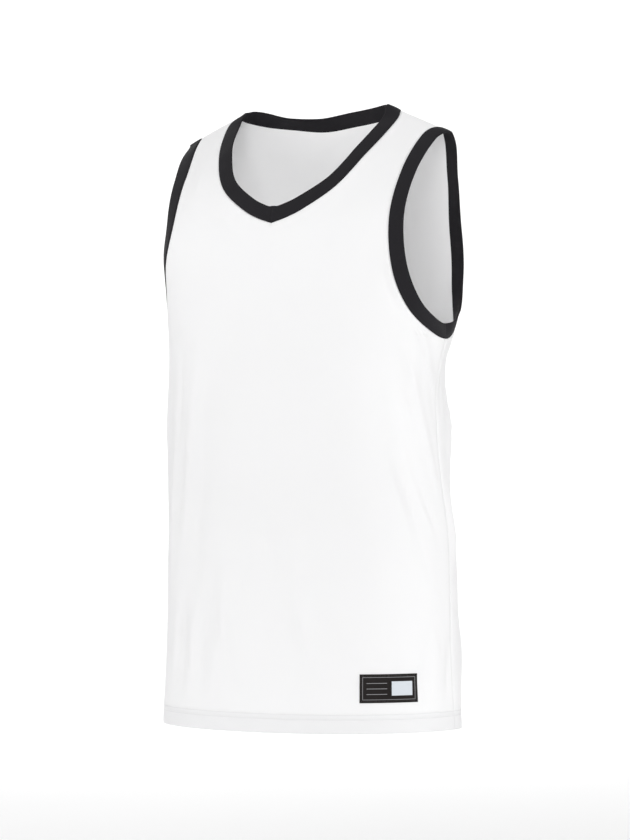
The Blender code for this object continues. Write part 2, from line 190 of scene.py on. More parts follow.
# Largest folds: each runs from one place to another and stands out, or in where its height is negative
FOLDS = np.array([
    # angle  level  to_angle  to_level  half_width  height
    (-34, 0.05, -60, -0.75, 16, 4),
    (-26, 0.00, -46, -0.80, 18, -3),
    (60, 0.05, 76, -0.35, 13, 3.5),
    (50, -0.05, 80, -0.62, 15, 3.5),
    (-45, -0.60, -40, -1.00, 12, 2.5),
    (-22, -0.55, -20, -1.00, 14, 2),
    (120, 0.05, 104, -0.45, 16, 4),
    (140, 0.00, 118, -0.75, 20, -3),
    (-122, 0.05, -104, -0.50, 16, 3.5),
    (-142, -0.05, -120, -0.80, 20, -3),
    (168, -0.20, 172, -0.95, 22, 3),
    (-160, -0.45, -164, -1.00, 18, 2.5),
    (108, 0.03, 107, -0.22, 40, -9),
    (-106, 0.03, -105, -0.24, 40, -8),
])
DEGREE_LENGTH = 2.6  # cloth that one degree of angle takes up, for the widths of the folds

# Smaller creases: they also bend sideways by bow, in millimetres
CREASES = np.array([
    # angle  level  to_angle  to_level  half_width  height  bow
    # front, wearer's right: the long drag from the armhole down to the side, with a trough each side
    (-28, 0.06, -47.5, -0.68, 8, 5.1, -3.8),
    (-40.5, 0.02, -49, -0.53, 7, -3.9, -1.6),
    (-21.2, 0.03, -37.5, -0.78, 13, -3.6, -1.7),
    (-62, 0.03, -70, -0.50, 9, 3.9, -4),
    (-58, -0.45, -62, -0.92, 8, -3.6, 3),
    # front, flutes above the hem
    (-29.2, -0.65, -35.5, -0.95, 6, 4.8, -0.4),
    (-38.5, -0.62, -43.5, -0.95, 6, -4.1, -2.3),
    (-23.8, -0.56, -26.5, -0.94, 7, -4.1, 1.3),
    (-15.2, -0.50, -20.2, -0.93, 8, 4.8, -2.2),
    (-13, -0.69, -5.8, -0.92, 7, 3.6, 0.8),
    (10, -0.51, 15.5, -0.89, 9, 4.1, -1.2),
    (-0.8, -0.41, 2.8, -0.77, 13, -2.2, 0),
    # front, wearer's left: drags from under the arm to the side seam
    (54, 0.01, 85.5, -0.42, 7, 4.2, -13.7),
    (70.5, 0.02, 88.8, -0.16, 5, 3.1, 2.6),
    (54, -0.24, 83, -0.70, 8, 4.2, 11.9),
    (62, -0.22, 82, -0.55, 7, -3.1, 3.2),
    (59.8, -0.09, 73.2, -0.26, 7, -2, 3.1),
    (77, -0.08, 89.2, -0.26, 5, -1.3, -6.4),
    (61.5, 0.06, 83.5, -0.04, 6, -2.6, -1),
    (62, 0.05, 75.2, -0.08, 3.2, -2.1, 0),
    (68, -0.79, 67, -0.95, 7, -2.9, 1.8),
    (89.8, -0.74, 81.8, -0.95, 5, -3.1, 3),
    (74, -0.72, 74.2, -0.93, 6, 2.3, -5.6),
    # front, chest and shoulders: soft strain from the neck
    (22.8, 0.60, 15, 0.31, 11, -1.8, -9.2),
    (-18.5, 0.41, -2.2, 0.27, 11, -1.8, 8.7),
    (39.5, 0.31, 53.8, 0.06, 9, -2.1, 6.6),
    (-33, 0.83, -30.2, 0.30, 9, 1.8, -16.6),
    (-6.5, 0.13, -20.5, -0.16, 14, -1.8, 4.4),
    # back, both sides: drags from the armholes to the small of the back
    (112, 0.06, 98, -0.22, 6.5, 3.9, 3),
    (124, 0.02, 101, -0.40, 8, 4.2, -4),
    (133, -0.12, 108, -0.60, 9, -3.6, 4),
    (98, -0.36, 97, -0.60, 10, 4.2, 2),
    (118, 0.05, 104, -0.12, 3.4, -2.1, 0),
    (-114, 0.06, -98, -0.24, 6.5, 3.9, -3),
    (-126, 0.00, -102, -0.44, 8, 4.2, 4),
    (-136, -0.14, -110, -0.66, 9, -3.6, -4),
    (-104, -0.50, -96, -0.80, 9, 3.6, 3),
    # back, long soft hang from the shoulder blades and flutes above the hem
    (150, 0.30, 156, -0.30, 15, 3.1, 6),
    (-152, 0.28, -148, -0.34, 14, -2.9, -6),
    (174, -0.10, 167, -0.70, 12, 2.9, 5),
    (150, -0.55, 146, -0.98, 9, 3.4, -4),
    (132, -0.62, 128, -0.96, 8, -3.1, 3),
    (116, -0.66, 112, -0.95, 7, 3.1, 3),
    (-172, -0.52, -176, -0.96, 9, -3.1, 4),
    (-146, -0.60, -142, -0.96, 8, 3.4, -3),
    (-126, -0.66, -122, -0.96, 8, -2.9, 3),
    (-112, -0.70, -108, -0.95, 7, 3.1, 0),
])
CREASE_PHASE = 2.4  # how far each crease's waves are shifted from the last one's
CREASE_WANDER = (0.22, 9.0)  # share by which its width and height vary along it, and their pace
CREASE_SWAY = (1.5, 7.0)  # how far its line sways, and the pace of that
CREASE_SIDES = (0.8, 1.25)  # widths of its steeper and its gentler side
CREASE_EDGE = 1.8  # power of its bell
FOLD_END = 1.5  # power with which the largest folds die away at their ends

# Slow unevenness of the cloth: waves round the body that climb, and fade in and out upwards
SOFT_WAVES = (
    # height  waves_round  climb  phase  fade  fade_phase
    (0.50, 5, 1.3, 0.6, 0.9, 1),
    (0.35, 11, -2.1, 2, 1.7, np.pi / 2),
    (0.22, 17, 0.8, 0, 2.9, 0.4),
)
SOFT_EASE = 12  # they die away in the last twelfth before the hem and the ridge

# Points of the meshes
COLUMNS = 54  # centre line to side seam
FOLD_ROWS = (0.0, 0.12, 0.45, 1.1)  # heights of the rows round the hem's fold
HEM_ROWS = np.linspace(3.0, 14.0, 6)  # of those between it and the stitches
STITCH_ROWS = (-1.6, -0.8, 0.0, 0.8, 1.6)  # of those about each line of stitches
ABOVE_HEM_ROWS = (1.2, 4.0)  # of the next two, above the step of the hem
BODY_ROWS = 104
ARM_ROWS = 84
CENTRE_ROWS = (30, 50)  # of these, up the centre line to the neck, front and back
EDGE_STEPS = (0.0, 0.0034, 0.0072, 0.0125)  # shares of a run at which its first points lie
BAND_ROWS = 110  # up half an armhole, or the front of the neck
BACK_NECK_ROWS = 70
COARSE_ROWS = (22, 14, 9)  # up half an armhole, front and back of the neck, for the set of a band
BAND_SEAM_POINTS = (0.0, 0.5, 1.1, 1.9)  # places across a band beside its seam
BAND_EVEN_POINTS = (3.2, 1.0, 12)  # even ones: distance from the seam, from the fold, and count
BAND_FOLD_POINTS = 7
TAG_COLUMNS = 63
TAG_ROWS = 33
TAG_STEPS = np.array([0.0, 0.004, 0.01, 0.02, 0.03])  # shares of its width at which points start

# Steps of the working
ANGLE_STEP, LEVEL_STEP = 0.4, 0.004  # to either side of a place, for a form's slopes
EASING = (8, 4)  # rounds of averaging along a band, and how close it stays to the ridge
CROWDING = (2.5, 8)  # the same for how much closer a seam's points lie at the ridge
SEAM_CHORD = (60.0, 0.6)  # degrees and level that count as one along a seam's table
SEAM_SAMPLES = 900
HEM_SAMPLES = 1441
TAG_SAMPLES = 600


# ---- curves and lengths


def cubic_pieces(stations, values, slopes, at):
    """Read a piecewise cubic, given by its values and slopes at the stations."""
    at = np.asarray(at, float)
    low = np.clip(np.searchsorted(stations, at, side="right") - 1, 0, len(stations) - 2)
    step = (stations[low + 1] - stations[low])[..., None]
    share = (at[..., None] - stations[low][..., None]) / step
    cube, square = share ** 3, share ** 2
    return ((2 * cube - 3 * square + 1) * values[low] + (cube - 2 * square + share) * step * slopes[low]
            + (3 * square - 2 * cube) * values[low + 1] + (cube - square) * step * slopes[low + 1])


def rises_and_slopes(stations, values):
    """How fast a table's values rise between its rows, and at its inner rows: there, the mean of the
    rises beside a row, each weighted by the other's length."""
    steps = np.diff(stations)[:, None]
    rises = np.diff(values, axis=0) / steps
    return rises, (rises[:-1] * steps[1:] + rises[1:] * steps[:-1]) / (steps[1:] + steps[:-1])


def smooth_rows(stations, values, at):
    """A smooth curve through a table's rows, made of cubic pieces."""
    rises, inner = rises_and_slopes(stations, values)
    return cubic_pieces(stations, values, np.vstack([rises[:1], inner, rises[-1:]]), at)


def unit(vectors):
    """The same directions, each with a length of 1."""
    return vectors / np.linalg.norm(vectors, axis=-1, keepdims=True)


def bell(distance, reach):
    """1 at no distance, a third at the reach and soon nothing: e to the minus square."""
    return np.exp(-(distance / reach) ** 2)


def waves(rows, at):
    """The sum of sine waves, each given by its height, pace and phase."""
    return sum(height * np.sin(pace * at + phase) for height, pace, phase in rows)


def rounded_edge(distance, radius, least):
    """A quarter circle that rises from an edge to 1 at its radius, from a least share of it on."""
    return np.sqrt(1 - (1 - np.clip(distance / radius, least, 1)) ** 2)


def running_sum(steps, axis=0):
    """The sum of the steps so far, from nothing."""
    nothing = np.zeros_like(steps.take([0], axis))
    return np.concatenate([nothing, np.cumsum(steps, axis=axis)], axis=axis)


def length_along(points, axis=0):
    """Length from the first point to each, along a trail or along one axis of a grid."""
    return running_sum(np.linalg.norm(np.diff(points, axis=axis), axis=-1), axis)


def edge_spaced(count, start=EDGE_STEPS, first=2 * EDGE_STEPS[-1]):
    """count + 1 shares from 0 to 1: some close together beside both ends, then even from the first."""
    start = np.array(start)
    middle = np.linspace(first, 1 - first, count + 1 - 2 * len(start))
    return np.concatenate([start, middle, 1 - start[::-1]])


# ---- the curved surface of the garment


def ridge_height(across):
    """Height of the shoulder ridge: two slopes that meet softly at the neck point."""
    past = np.hypot(across, RIDGE_ROUNDING) - np.hypot(NECK_POINT, RIDGE_ROUNDING)
    outward = -np.tan(np.radians(SHOULDER_SLOPE))
    inward = -np.tan(np.radians(NECK_SLOPE))
    bend = np.sqrt(past ** 2 + RIDGE_SOFTNESS ** 2) - RIDGE_SOFTNESS
    return (outward + inward) / 2 * past + (outward - inward) / 2 * bend


def smooth_form(angle, level):
    """The body without its folds. A section is x = width * (sin a + k sin 3a) / (1 - k) and
    y = middle -+ depth * (cos a - k cos 3a) / (1 - k). Above the chest line the depth closes as
    cos(t) and the height rises as sin(t), where t goes from 0 to a right angle at the ridge."""
    angle, level = np.broadcast_arrays(np.asarray(angle, float), np.asarray(level, float))
    row = smooth_rows(SECTIONS[:, 0], SECTIONS[:, 1:], level)
    width, front, back, middle, front_square, back_square = np.moveaxis(row, -1, 0)
    is_front = np.abs(angle) <= 90
    square = np.where(is_front, front_square, back_square)
    turn = np.radians(np.where(is_front, np.abs(angle), 180 - np.abs(angle)))
    side = (np.sin(turn) + square * np.sin(3 * turn)) / (1 - square)
    fore = (np.cos(turn) - square * np.cos(3 * turn)) / (1 - square)
    across = width * side * np.sign(angle)
    climb = np.sin(np.clip(level, 0, 1) * np.pi / 2)
    most, late = np.moveaxis(np.where(is_front[..., None], TAPER_FRONT, TAPER_BACK), -1, 0)
    closing = np.sqrt(1 - climb ** 2) * (1 - most * climb ** late)
    deep = middle + np.where(is_front, -front, back) * fore * closing
    below = -CHEST_LINE + level * DROP + SIDE_RISE * side ** 2 * level ** 2
    above = -CHEST_LINE + (ridge_height(across) + CHEST_LINE) * climb
    return np.stack([across, deep, np.where(level < 0, below, above)], axis=-1)


def normals_of(form, angle, level):
    """Outward directions of a form, from its slopes along the angle and the level."""
    top = np.minimum(level + LEVEL_STEP, 1.0)
    along = form(angle + ANGLE_STEP, level) - form(angle - ANGLE_STEP, level)
    up = form(angle, top) - form(angle, top - 2 * LEVEL_STEP)
    return unit(np.cross(along, up))


def hem_height(level):
    """Height above the hem, of a level below the chest line."""
    return (level + 1) * DROP


def hem_level(height):
    """Level of a height above the hem."""
    return height / DROP - 1


def along_and_aside(angle, level, row):
    """For a fold's table row: the share of its run at each place, and how far aside it lies."""
    start, start_level, end, end_level = row[:4]
    run_across, run_up = (end - start) * DEGREE_LENGTH, (end_level - start_level) * DROP
    across = ((angle - start + 180) % 360 - 180) * DEGREE_LENGTH
    up = (level - start_level) * DROP
    length = np.hypot(run_across, run_up)
    share = np.clip((across * run_across + up * run_up) / length ** 2, 0, 1)
    return share, (across * run_up - up * run_across) / length


def fold_relief(angle, level):
    """How far the folds lift the cloth: each is a bell across its line, and swells and dies away
    along it."""
    relief = np.zeros(np.shape(angle))
    for row in FOLDS:
        share, aside = along_and_aside(angle, level, row)
        half_width, height = row[4:]
        relief += height * bell(aside, half_width) * np.sin(np.pi * share) ** FOLD_END
    return relief


def crease_relief(angle, level):
    """The same for the smaller creases. Each bows sideways, wanders a little in width and height,
    and has a steeper and a gentler side."""
    relief = np.zeros(np.shape(angle))
    for number, row in enumerate(CREASES):
        half_width, height, bow = row[4:]
        share, aside = along_and_aside(angle, level, row)
        arch = np.sin(np.pi * share)
        phase = CREASE_PHASE * number
        wander = CREASE_WANDER[0] * np.sin(CREASE_WANDER[1] * share + phase)
        aside = aside - bow * arch - CREASE_SWAY[0] * np.sin(CREASE_SWAY[1] * share + phase)
        width = half_width * (1 + wander) * np.where(aside > 0, *CREASE_SIDES)
        relief += height * (1 - wander) * np.exp(-np.abs(aside / width) ** CREASE_EDGE) * arch
    return relief


def soft_waves(angle, level):
    """Slow, shallow unevenness of cloth that hangs free: a few crossed sine waves, in millimetres.
    Their pace upwards is given for a decimetre of cloth."""
    turn, up = np.radians(angle), level * (DROP / 100)
    ease = np.clip((1 - np.abs(level)) * SOFT_EASE, 0, 1)
    return ease * sum(
        height * np.sin(waves_round * turn + climb * up + phase) * np.sin(fade * up + fade_phase)
        for height, waves_round, climb, phase, fade, fade_phase in SOFT_WAVES)


def body(angle, level):
    """The middle of the cloth with its largest folds, on which the seams lie."""
    angle, level = np.broadcast_arrays(np.asarray(angle, float), np.asarray(level, float))
    lift = fold_relief(angle, level)[..., None]
    return smooth_form(angle, level) + lift * normals_of(smooth_form, angle, level)


def outer_face(angle, level):
    """The outer face of the cloth with all its creases, and its outward directions."""
    normals = normals_of(body, angle, level)
    lift = crease_relief(angle, level) + soft_waves(angle, level) + PANEL_WALL / 2
    return body(angle, level) + normals * lift[..., None], normals


# ---- seams


def on_front(run, side):
    """Angles and levels of a run on the front, whose own angles count from centre front."""
    return side * run[..., 0], run[..., 1]


def on_back(run, side):
    """The same on the back, from centre back."""
    return side * (180 - run[..., 0]), run[..., 1]


def seam_run(rows, before, after, spacing, place, side):
    """Places along a seam as rows of angle, level and length from its start: a smooth curve through
    the table's rows, shared out by length of cloth but closer together towards the shoulder ridge."""
    steer = np.vstack([before, rows, after])
    way = running_sum(np.sqrt(np.linalg.norm(np.diff(steer, axis=0) / SEAM_CHORD, axis=1)))
    _, slopes = rises_and_slopes(way, steer)
    fine = np.linspace(way[1], way[-2], SEAM_SAMPLES)
    run = cubic_pieces(way[1:-1], rows, slopes, fine)
    steps = np.linalg.norm(np.diff(smooth_form(*place(run, side)), axis=0), axis=1)
    crowding = 1 + CROWDING[0] * run[1:, 1] ** CROWDING[1]
    length, effort = running_sum(steps), running_sum(steps * crowding)
    at = np.interp(spacing * effort[-1], effort, fine)
    return np.column_stack([cubic_pieces(way[1:-1], rows, slopes, at), np.interp(at, fine, length)])


def over_shoulder(rows):
    """The other side's last row but one, as the next row of a seam that crosses the ridge."""
    return rows[-2, 0], 2 - rows[-2, 1]


def under_arm(rows):
    """The other side's second row, as the row before the start of an armhole seam."""
    return 180 - rows[1, 0], rows[1, 1]


def armhole_runs(side, spacing):
    """The armhole seam from under the arm to the shoulder, on the front and on the back."""
    front = ARMHOLE[:, [1 if side > 0 else 2, 0]]
    back = ARMHOLE[:, [3 if side > 0 else 4, 0]]
    back[-1, 0] = front[-1, 0]
    return (seam_run(front, under_arm(back), over_shoulder(back), spacing, on_front, side),
            seam_run(back, under_arm(front), over_shoulder(front), spacing, on_back, side))


def neck_runs(front_spacing, back_spacing):
    """The neck seam from centre to shoulder, on the front and on the back. It comes straight to the
    point of the V, and level to centre back."""
    front, back = NECK_FRONT[:, ::-1], NECK_BACK[:, ::-1]
    before_front = 2 * front[0] - front[1]
    before_back = (-back[1, 0], back[1, 1])
    return (seam_run(front, before_front, over_shoulder(back), front_spacing, on_front, 1),
            seam_run(back, before_back, over_shoulder(front), back_spacing, on_back, 1))


def closed_places(runs, side):
    """Angle, level and length round a whole seam. An armhole's goes from under the arm up the front
    and down the back, the neck's (side 0) from the V up the left, round the back and down the right."""
    front, back = runs
    up, down = front[-1, 2], back[-1, 2]
    if side:
        places = [on_front(front, side), on_back(back[-2:0:-1], side)]
        lengths = [front[:, 2], up + down - back[-2:0:-1, 2]]
        whole = up + down
    else:
        places = [on_front(front, 1), on_back(back[-2::-1], 1), on_back(back[1:], -1),
                  on_front(front[-2:0:-1], -1)]
        half = np.concatenate([front[:, 2], up + down - back[-2::-1, 2]])
        whole = 2 * (up + down)
        lengths = [half, whole - half[-2:0:-1]]
    angle, level = (np.concatenate(parts) for parts in zip(*places))
    return angle, level, np.concatenate(lengths), whole


def lean_at(table, length, runs, side):
    """A band's lean at each length round its seam, from its table's column for that side. The neck's
    seam (side 0) runs up its left half and back down its right half."""
    up, down = runs[0][-1, 2], runs[1][-1, 2]
    half = up + down
    is_left = side > 0
    if not side:
        is_left = length <= half
        length = np.minimum(length, 2 * half - length)
    share = np.where(length <= up, length / up / 2, 1 - (half - length) / down / 2)
    left, right = smooth_rows(table[:, 0], table[:, 1:], share).T
    return np.where(is_left, left, right)


def eased(vectors, level):
    """The directions along a closed seam, averaged with their neighbours the more the nearer they
    lie to the shoulder ridge."""
    mean = vectors
    rounds, power = EASING
    for _ in range(rounds):
        mean = unit(np.roll(mean, 1, axis=0) + 2 * mean + np.roll(mean, -1, axis=0))
    return unit(vectors + (mean - vectors) * np.clip(level, 0, 1)[:, None] ** power)


def band_set(runs, side, table):
    """How a band is set on its seam, at coarse samples: lengths round, and for each the outward
    direction of the cloth, the direction of the band's width, the outward direction of its face and
    the way into the hole. At the V the width follows the mitre of the two sides. An armhole's set
    runs on past the joint under the arm, the neck's starts and ends at the V."""
    angle, level, length, whole = closed_places(runs, side)
    points = body(angle, level)
    normals = eased(normals_of(body, angle, level), level)
    ahead = unit(np.roll(points, -1, axis=0) - points)
    behind = np.roll(ahead, 1, axis=0)
    inward = unit(np.cross(normals, ahead + behind))
    inward *= np.sign((inward * (points.mean(axis=0) - points)).sum())
    inward = eased(inward, level)
    if not side:
        inward[0] /= abs(inward[0] @ unit(np.cross(normals[0], ahead[0])))
    lean = np.radians(lean_at(table, length, runs, side))[:, None]
    mitre = np.linalg.norm(inward, axis=1)[:, None]
    slant = np.cos(lean) * inward + np.sin(lean) * normals * mitre
    square = np.cos(lean) * normals - np.sin(lean) * inward / mitre
    rows = np.hstack([normals, slant, square, inward])
    if side:
        length = np.concatenate([length[-2:] - whole, length, length[:3] + whole])
        rows = np.vstack([rows[-2:], rows, rows[:3]])
    else:
        length = np.append(length, whole)
        rows = np.vstack([rows, rows[:1]])
    return length, rows


# ---- mesh making


def grid_faces(rows, columns, closed=False):
    """Index quads of a grid, facing out when the columns run to the wearer's left and the rows up.
    closed joins the last row to the first and the last column to the first."""
    index = np.arange(rows * columns).reshape(rows, columns)
    if closed:
        index = np.pad(index, ((0, 1), (0, 1)), mode="wrap")
    corners = [index[:-1, :-1], index[:-1, 1:], index[1:, 1:], index[1:, :-1]]
    return np.stack(corners, axis=-1).reshape(-1, 4)


def new_object(name, data):
    """A new object in the scene that shows a mesh, a light or a camera."""
    made = bpy.data.objects.new(name, data)
    bpy.context.scene.collection.objects.link(made)
    return made


def smooth_mesh(name, points, faces, finish):
    """A smooth mesh of points, in millimetres, and faces."""
    mesh = bpy.data.meshes.new(name)
    mesh.from_pydata(points * MM, [], faces)
    mesh.shade_smooth()
    mesh.materials.append(finish)
    return mesh


def make_piece(name, points, faces, uv, finish, nodes=()):
    """One smooth piece with a UV map in millimetres of cloth, in place of the nodes named."""
    mesh = smooth_mesh(name, points, faces, finish)
    corners = uv[faces.ravel()].astype(np.float32)
    mesh.uv_layers.new(name="cloth").data.foreach_set("uv", corners.ravel())
    piece = new_object(name, mesh)
    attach(piece, "root")
    if nodes:
        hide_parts(*nodes)
    return piece


def two_faced(name, outer, inner, faces, uv, finish, node):
    """A sheet with a wall: its outer points and faces, inner points in the same order with their
    faces turned over, and quads between the free edges of both."""
    count = len(outer)
    edges = np.vstack([faces[:, [corner, (corner + 1) % 4]] for corner in range(4)])
    is_free = ~np.isin(edges @ (count, 1), edges @ (1, count))
    start, end = edges[is_free].T
    rim = np.column_stack([end, start, start + count, end + count])
    faces = np.vstack([faces, faces[:, ::-1] + count, rim])
    return make_piece(name, np.vstack([outer, inner]), faces, np.vstack([uv, uv]), finish, [node])


# ---- body panels


KNIT_ANGLE = 28.0  # angle at which the knit's courses are counted up the body
KNIT_DEGREE = 2.9  # millimetres of knit to one degree of angle
KNIT_LEVELS = np.linspace(-1, 1, 401)
KNIT_HEIGHTS = length_along(smooth_form(KNIT_ANGLE, KNIT_LEVELS))


def knit_uv(angle, level):
    """The cloth's own coordinates in millimetres: across it by angle, up it from the hem."""
    return np.stack([angle * KNIT_DEGREE, np.interp(level, KNIT_LEVELS, KNIT_HEIGHTS)], axis=-1)


def panel_places(side, is_front):
    """Angle and level of one half of a panel, and the row where its neck seam starts: rows from hem
    to shoulder, columns from the centre line, or above it the neck seam, out to the side seam, or
    above it the armhole seam."""
    hem_top = HEM_DEPTH + HEM_STEP
    stitched = np.add.outer(STITCH_ROWS, STITCH_LINES).ravel()
    hem = np.sort(np.concatenate([FOLD_ROWS, HEM_ROWS, stitched, [hem_top + ABOVE_HEM_ROWS[0]]]))
    upward = np.linspace(hem_level(hem_top + ABOVE_HEM_ROWS[1]), 0, BODY_ROWS + 1)[:-1]
    levels = np.concatenate([hem_level(hem), upward])
    part, place = (0, on_front) if is_front else (1, on_back)
    centre_rows = CENTRE_ROWS[part]
    neck_spacing = edge_spaced(ARM_ROWS - centre_rows)
    arm = armhole_runs(side, edge_spaced(ARM_ROWS))[part]
    neck = neck_runs(neck_spacing, neck_spacing)[part]
    up_centre = np.linspace(0, neck[0, 1], centre_rows + 1)[:-1]
    centre = np.column_stack([np.zeros(centre_rows), up_centre])
    low = np.column_stack([np.zeros(len(levels)), levels])
    near = np.vstack([low, centre, neck[:, :2]])
    far = np.vstack([low + (90.0, 0.0), arm[:, :2]])
    share = edge_spaced(COLUMNS)[None, :, None]
    angle, level = place(near[:, None] * (1 - share) + far[:, None] * share, side)
    return angle, level, len(low) + centre_rows


def share_kept(points, level, neck_row):
    """Share of the small creases that a panel keeps: all below the chest line, and above it the more
    the farther a place lies from the seams."""
    from_near = length_along(points, axis=1)
    from_seam = from_near[:, -1:] - from_near
    from_seam[neck_row:] = np.minimum(from_near[neck_row:], from_seam[neck_row:])
    upper = np.clip(level / HOLD_LEVEL, 0, 1)
    return (1 - bell(from_seam, SEAM_HOLD)) * upper + (1 - upper)


def seam_sink(points, neck_row):
    """How far the outer face sinks beside each seamed edge: a narrow bell of the distance to it,
    measured along the rows and columns of the grid."""
    from_near = length_along(points, axis=1)
    from_far = from_near[:, -1:] - from_near
    from_top = length_along(points[::-1])[::-1]
    sink = bell(from_far, SEAM_REACH) + bell(from_top, SEAM_REACH)
    sink[neck_row:] += bell(from_near[neck_row:], SEAM_REACH)
    return SEAM_ROLL * np.minimum(sink, 1)


def stitch_sink(angle, level):
    """How far the hem's rows of stitches draw the cloth in, with small puckers between them."""
    height = hem_height(level)
    drawn = sum(bell(height - line, STITCH_DRAW[1]) for line in STITCH_LINES)
    between = bell(height - sum(STITCH_LINES) / 2, PUCKER_REACH)
    return STITCH_DRAW[0] * drawn + waves(PUCKERS, angle * DEGREE_LENGTH) * between


def half_panel(side, is_front):
    """One half of a panel as grids of its outer and inner points and its cloth coordinates, and the
    row where its neck seam starts. Seamed edges stand back by half a gap. The wall has its outer face
    in line, so the turned-up hem is thicker inside, and ends below in a rounded fold."""
    angle, level, neck_row = panel_places(side, is_front)
    normals = normals_of(body, angle, level)
    middle = body(angle, level)
    lift = crease_relief(angle, level) + soft_waves(angle, level)
    lift *= share_kept(middle, level, neck_row)
    middle = middle + lift[..., None] * normals
    gap = SEAM_GAP / 2
    middle[:, -1] += gap * unit(middle[:, -2] - middle[:, -1])
    middle[-1] += gap * unit(middle[-2] - middle[-1])
    middle[neck_row:, 0] += gap * unit(middle[neck_row:, 1] - middle[neck_row:, 0])
    height = hem_height(level)
    doubled = np.clip((HEM_DEPTH + HEM_STEP - height) / HEM_STEP, 0, 1)
    wall = PANEL_WALL + (HEM_WALL - PANEL_WALL) * doubled
    centre = PANEL_WALL / 2 - wall / 2
    half_wall = wall / 2 * rounded_edge(height, HEM_WALL / 2, FOLD_TIP)
    above = centre + half_wall - seam_sink(middle, neck_row) - stitch_sink(angle, level)
    outer = middle + normals * above[..., None]
    inner = middle + normals * (centre - half_wall)[..., None]
    return outer, inner, knit_uv(angle, level), neck_row


def panel(node, name, is_front, finish):
    """A whole body panel: two halves that share the centre line up to the neck."""
    halves = [half_panel(side, is_front) for side in (1, -1)]
    (rows, columns), neck_row = halves[0][0].shape[:2], halves[0][3]
    quads = grid_faces(rows, columns)
    left, right = (quads, quads[:, ::-1]) if is_front else (quads[:, ::-1], quads)
    index = np.arange(2 * rows * columns)
    shared = np.arange(neck_row + 1) * columns
    index[shared + rows * columns] = shared
    used, renumbered = np.unique(index, return_inverse=True)
    sheets = ([half[part].reshape(rows * columns, -1) for half in halves] for part in range(3))
    outer, inner, uv = (np.concatenate(sheet)[used] for sheet in sheets)
    faces = renumbered[np.vstack([left, right + rows * columns])]
    return two_faced(name, outer, inner, faces, uv, finish, node)


# ---- rib bands


def band_profile():
    """Cross-section of a doubled band: distances from the seam and half thicknesses there. The
    seamed edge is pressed thin, the other is a round fold."""
    fold = BAND_WALL / 2
    straight = BAND_WIDTH - SEAM_GAP / 2 - fold
    from_seam, from_fold, count = BAND_EVEN_POINTS
    even = np.linspace(from_seam, straight - from_fold, count)
    turn = np.linspace(0, np.pi / 2, BAND_FOLD_POINTS)
    place = np.concatenate([BAND_SEAM_POINTS, even, straight + fold * np.sin(turn)])
    least, reach, power = BAND_PRESS
    pressed = least + (1 - least) * np.clip(place / reach, 0, 1) ** power
    past = np.clip(place - straight, 0, None) / fold
    return place, fold * pressed * np.sqrt(np.clip(1 - past ** 2, FOLD_TIP ** 2, 1))


def band(node, name, runs, coarse, side, table, finish):
    """A doubled band: it leaves the seam along the cloth, leans by its table and ends in a rounded
    fold at the hole. Slow waves and the pressed joint of its ends give its face some relief."""
    stations, rows = band_set(coarse, side, table)
    angle, level, length, whole = closed_places(runs, side)
    normals, slant, square, inward = np.split(smooth_rows(stations, rows, length), 4, axis=1)
    normals, square = unit(normals), unit(square)
    points = body(angle, level)
    start = points + unit(inward) * SEAM_GAP / 2
    place, half = band_profile()
    across, half = place[None, :, None], half[None, :, None]
    arch = np.sin(np.pi * across / place[-1])
    turned = np.clip(across / place[-1] * BAND_TURN, 0, 1)
    face = unit(square[:, None] * turned + normals[:, None] * (1 - turned))
    from_joint = np.minimum(length, whole - length)[:, None, None]
    wider, reach = (0, JOINT_REACH) if side else V_BLUNTING
    middle = start[:, None] + slant[:, None] * across * (1 + wider * bell(from_joint, reach))
    wall = 1 - (ARM_PRESS if side else V_PRESS) * bell(from_joint, JOINT_REACH)
    ripple = waves(BAND_RIPPLES, length)[:, None, None] * arch
    outer = middle + face * (half * wall + BAND_CROWN * arch * wall + ripple)
    inner = middle - face * (half * wall - ripple)
    loop = np.concatenate([outer, inner[:, ::-1]], axis=1)
    faces = grid_faces(*loop.shape[:2], closed=True)
    if np.dot(np.cross(inward[0], points[1] - points[0]), normals[0]) < 0:
        faces = faces[:, ::-1]
    there_and_back = np.concatenate([place, place[::-1]])
    uv = np.stack(np.broadcast_arrays(length[:, None], there_and_back[None]), axis=-1).reshape(-1, 2)
    return make_piece(name, loop.reshape(-1, 3), faces, uv, finish, [node])


# ---- stitches and tag


def stitches(name, points, along, normals, size, finish):
    """Short stitches, each a slim four-sided bar along its seam: a ring of four points towards
    either end and past it a tip that dips into the cloth."""
    length, radius = size
    aside = unit(np.cross(along, normals))
    section = STITCH_SECTION * radius
    ring = aside[:, None] * section[None, :, :1] + normals[:, None] * section[None, :, 1:]
    ends = along[:, None] * np.array([-0.5, 0.5])[None, :, None] * length
    low, high = ends[:, :1] * STITCH_BODY + ring, ends[:, 1:] * STITCH_BODY + ring
    dip = -normals[:, None] * radius * STITCH_DIP
    shape = np.concatenate([ends[:, :1] + dip, low, high, ends[:, 1:] + dip], axis=1)
    verts = (points[:, None] + shape).reshape(-1, 3)
    # a stitch's points: 0 is one tip, 1 to 4 and 5 to 8 are the rings, and 9 is the other tip
    turn = np.arange(4)
    after = (turn + 1) % 4
    sides = np.column_stack([1 + turn, 1 + after, 5 + after, 5 + turn])
    cap_low = np.column_stack([np.zeros(4, int), 1 + after, 1 + turn])
    cap_high = np.column_stack([np.full(4, 9), 5 + turn, 5 + after])
    tris = np.vstack([sides[:, [0, 1, 2]], sides[:, [0, 2, 3]], cap_low, cap_high])
    faces = (tris[None] + 10 * np.arange(len(points))[:, None, None]).reshape(-1, 3)
    return make_piece(name, verts, faces, np.zeros((len(verts), 2)), finish)


